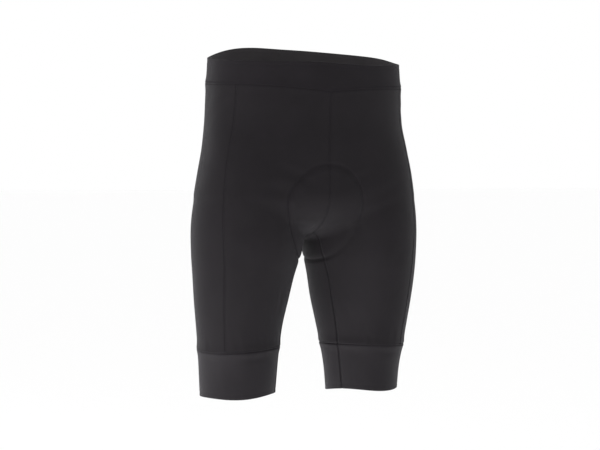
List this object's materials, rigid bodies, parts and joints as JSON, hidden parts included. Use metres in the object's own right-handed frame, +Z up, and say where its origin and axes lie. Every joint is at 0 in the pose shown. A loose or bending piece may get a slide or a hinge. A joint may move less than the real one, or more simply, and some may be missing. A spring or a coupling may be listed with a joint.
{
  "type": "cycling shorts",
  "caption": "Knee-length stretch cycling shorts, filled out as when worn, with a wide waistband, front and back panels on each leg, leg cuffs and an inner seat pad.",
  "frame": {"origin": "middle of the waist opening, level with the waistband's top edge at the sides", "axes": "+Z up the wearer's body, +X towards the wearer's left, -Y towards the front"},
  "size_m": [0.3504, 0.2205, 0.5214],
  "materials": {
    "panel_knit": "smooth charcoal stretch knit with a soft sheen",
    "band_knit": "doubled matt charcoal stretch knit",
    "cuff_knit": "close charcoal stretch knit with a soft sheen",
    "pad_foam": "brushed knit over foam"
  },
  "bodies": {
    "root": {"waistband": "band_knit", "front_left": "panel_knit", "front_right": "panel_knit", "back_left": "panel_knit", "back_right": "panel_knit", "cuff_left": "cuff_knit", "cuff_right": "cuff_knit", "seat_pad": "pad_foam"}
  },
  "joints": []
}
